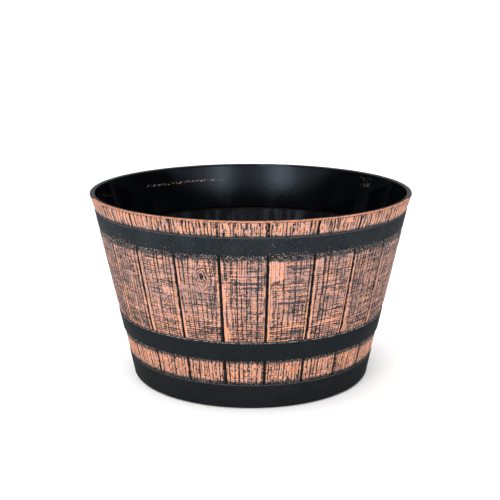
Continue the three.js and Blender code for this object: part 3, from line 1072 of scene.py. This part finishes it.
def lay_out_stave(mesh, across, up, front):
    """The stave's own UV map: the face, then its flanks, ends and back in strips beside it."""
    corner = integers(mesh.loops, "vertex_index")
    start = integers(mesh.polygons, "loop_start")
    total = integers(mesh.polygons, "loop_total")
    owner = np.repeat(np.arange(len(total)), total)
    fronts = np.add.reduceat(front[corner].astype(int), start)
    middle = np.add.reduceat(across[corner], start) / total
    height = np.add.reduceat(up[corner], start) / total
    is_face, is_back = (fronts == total)[owner], (fronts == 0)[owner]
    on_left, on_right = (middle < 1e-4)[owner], (middle > 1 - 1e-4)[owner]
    at_top = (height > 0.5)[owner]
    s, t, outer = across[corner], 0.01 + 0.98 * up[corner], front[corner]
    flank = 0.01 * outer
    place_s = np.select(
        [is_face, is_back, on_left, on_right],
        [0.01 + 0.9 * s, 0.98 + 0.01 * s, 0.925 + flank, 0.94 + flank],
        0.955 + flank,
    )
    place_t = np.where(is_face | is_back | on_left | on_right, t, 0.02 + 0.45 * s + 0.5 * at_top)
    layer = mesh.uv_layers.new(name="OFBake")
    layer.data.foreach_set("uv", np.stack([place_s, place_t], -1).astype(np.float32).ravel())


# --- What stands under the floor, and the drain holes

RIBS = 8
RIB_UNDERSIDE = 2.0
RIB_TIP = 2.0
RIB_ROOT = 3.0
RIB_EDGE = 0.4
HUB_RADIUS = 24.0
HUB_WALL = 2.5
NOTCHES = 4
NOTCH_WIDTH = 14.0
NOTCH_LENGTH = 34.0
NOTCH_HEIGHT = 2.2
HOLE_RADIUS = 8.0
COLLAR_RADIUS = 11.5
SEAT_RADIUS = 13.4
SEAT_DEPTH = 1.0
PLUG_PLACES = ["centre", "front", "right", "back", "left"]
ROOT_HEIGHT = (FLOOR_UNDERSIDE + FLOOR_TOP) / 2


def plug_place(name):
    """The drain hole's middle, from its plug's own box."""
    low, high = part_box(f"drain_plug_{name}")
    return (low.x + high.x) / 2, (low.y + high.y) / 2


def cut(obj, cutter):
    apply_modifier(obj, "BOOLEAN", operation="DIFFERENCE", object=cutter, solver="EXACT")
    bpy.data.objects.remove(cutter)


def add_ring(name, inner, outer, bottom, top, place=(0, 0)):
    """A flat ring: a cylinder whose two ends are inset and bridged into a bore."""
    ring = add_cylinder(name, outer, bottom, top, place)
    edit(ring)
    select_faces(ring, lambda face: abs(face.normal.z) > 0.9)
    bpy.ops.mesh.inset(thickness=(outer - inner) * MM, use_individual=True)
    bpy.ops.mesh.bridge_edge_loops()
    set_mode("OBJECT")
    return ring


def cut_drainage(shell):
    for name in PLUG_PLACES:
        place = plug_place(name)
        cut(shell, add_cylinder("drain_bore", HOLE_RADIUS, -5, FLOOR_TOP + 5, place))
        cut(shell, add_cylinder("plug_seat", SEAT_RADIUS, FLOOR_TOP - SEAT_DEPTH, FLOOR_TOP + 5, place))


def make_underside(material):
    heights = (RIB_UNDERSIDE, ROOT_HEIGHT)
    hub = add_ring("hub_ring", HUB_RADIUS - HUB_WALL, HUB_RADIUS + HUB_WALL / 2, *heights)
    collars = [
        add_ring(f"drain_collar_{name}", HOLE_RADIUS, COLLAR_RADIUS, *heights, plug_place(name))
        for name in PLUG_PLACES
    ]
    ribs = [make_rib(number) for number in range(RIBS)]
    for piece in [hub, *collars, *ribs]:
        join_tub(piece, material, 35)


def make_rib(number):
    """A web from the hub to the stand ring, drawn in at its free edge, turned to its place."""
    length = STAND_INNER_RADIUS + 1 - HUB_RADIUS
    middle = (0, -HUB_RADIUS - length / 2, (RIB_UNDERSIDE + ROOT_HEIGHT) / 2)
    rib = add_block(f"floor_rib_{number + 1}", middle, (RIB_ROOT, length, ROOT_HEIGHT - RIB_UNDERSIDE))
    edit(rib)
    select_faces(rib, lambda face: face.normal.z < -0.9)
    bpy.ops.transform.resize(value=(RIB_TIP / RIB_ROOT, 1, 1), center_override=(0, 0, RIB_UNDERSIDE * MM))
    set_mode("OBJECT")
    turn(rib, (number + 0.5) * 2 * math.pi / RIBS)
    apply_modifier(rib, "BEVEL", width=RIB_EDGE * MM, segments=2)
    return rib


def cut_notches(shell):
    """Lets water out from under the stand ring."""
    middle = (0, -(STAND_INNER_RADIUS + STAND_OUTER_RADIUS) / 2, 0)
    for number in range(NOTCHES):
        notch = add_block("drain_notch", middle, (NOTCH_WIDTH, NOTCH_LENGTH, 2 * NOTCH_HEIGHT))
        turn(notch, (number + 0.5) * 2 * math.pi / NOTCHES)
        cut(shell, notch)


# --- The drain plugs

PLUG_GAP = 0.3
STEM_BOTTOM = 3.3
STEM_RADIUS = HOLE_RADIUS - PLUG_GAP
STEM_WALL = 1.8
FLANGE_BOTTOM = FLOOR_TOP - SEAT_DEPTH + PLUG_GAP
FLANGE_TOP = FLANGE_BOTTOM + 2.4
FLANGE_RADIUS = SEAT_RADIUS - PLUG_GAP
CROWN = 0.7
FIN_WIDTH = 13.0
FIN_THICKNESS = 2.6
FIN_ROOT = 0.2
FIN_EDGE = 0.5


def make_plug(name, material):
    """A rubber stopper: hollow stem, rounded flange with a low crown, and a fin to pull it out by."""
    place = plug_place(name)
    plug = add_cylinder(f"stopper_{name}", STEM_RADIUS, STEM_BOTTOM, FLANGE_BOTTOM, place)
    edit(plug)
    select_faces(plug, lambda face: face.normal.z > 0.9)
    rings = [
        (FLANGE_RADIUS - 0.3, FLANGE_BOTTOM),
        (FLANGE_RADIUS, FLANGE_BOTTOM + 0.3),
        (FLANGE_RADIUS, FLANGE_TOP - 0.9),
        (FLANGE_RADIUS - 0.3, FLANGE_TOP - 0.3),
        (FLANGE_RADIUS - 0.9, FLANGE_TOP),
    ]
    for t in (0.25, 0.5, 0.75, 0.95):
        rings.append((FLANGE_RADIUS * (1 - t), FLANGE_TOP + CROWN * (1 - (1 - t) ** 2)))
    now = (STEM_RADIUS, FLANGE_BOTTOM)
    for ring in rings:
        now = raise_ring(ring, now, place)
    select_faces(plug, lambda face: face.normal.z < -0.9 and face.center.z < (STEM_BOTTOM + 0.1) * MM)
    bpy.ops.mesh.inset(thickness=STEM_WALL * MM)
    extrude(FLANGE_BOTTOM - STEM_BOTTOM)
    set_mode("OBJECT")
    for piece in (plug, make_fin(name, place)):
        piece.data.materials.append(material)
        smooth_by_angle(piece, 40)
        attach(piece, f"plug_{name}")
        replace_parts(piece, f"drain_plug_{name}")


def make_fin(name, place):
    """Half a round disc with eased edges, which stands on the flange square to the tub's middle."""
    x, y = place
    bpy.ops.mesh.primitive_cylinder_add(
        vertices=40, radius=FIN_WIDTH / 2 * MM, depth=FIN_THICKNESS * MM, rotation=(math.pi / 2, 0, 0)
    )
    fin = just_added(f"plug_fin_{name}")
    bpy.ops.object.transform_apply()
    edit(fin)
    bpy.ops.mesh.select_all(action="SELECT")
    bpy.ops.mesh.bisect(plane_co=(0, 0, 0), plane_no=(0, 0, 1), use_fill=True, clear_inner=True)
    set_mode("OBJECT")
    apply_modifier(fin, "BEVEL", width=FIN_EDGE * MM, segments=3, limit_method="ANGLE")
    fin.location = (x, y, (FLANGE_TOP - FIN_ROOT) * MM)
    turn(fin, math.atan2(x, -y))
    return fin


# --- The planter

add_camera()
add_floor()
light_studio()

bare_resin = moulded_black("bare_resin", (20, 22, 25), 5, BASE_TOP, 0.2, crept_in=True)
# The upper hoop's black is lighter and more clouded than the lower hoop's: painted light, for the light the
# upper hoop catches
hoop_black = moulded_black("hoop_black", (25, 30, 34), 14, UPPER_HOOP["top"], 0.2, speck_density=0.8)
lower_hoop_black = moulded_black("lower_hoop_black", (21, 25, 28), 5, LOWER_HOOP["top"], 0.8)
shell = make_shell([bare_resin, glossy_inside(), painted_rim(), dull_inside(), matt_ledge()])
cut_drainage(shell)
cut_notches(shell)
make_underside(bare_resin)
make_hoop("upper_hoop", UPPER_HOOP, hoop_black)
make_hoop("lower_hoop", LOWER_HOOP, lower_hoop_black)
board = stave_blank()
copper = dry_brushed_copper()
for stave_number in range(STAVES):
    make_stave(stave_number, board, copper)
bpy.data.objects.remove(board)
rubber = plug_rubber()
for plug_name in PLUG_PLACES:
    make_plug(plug_name, rubber)
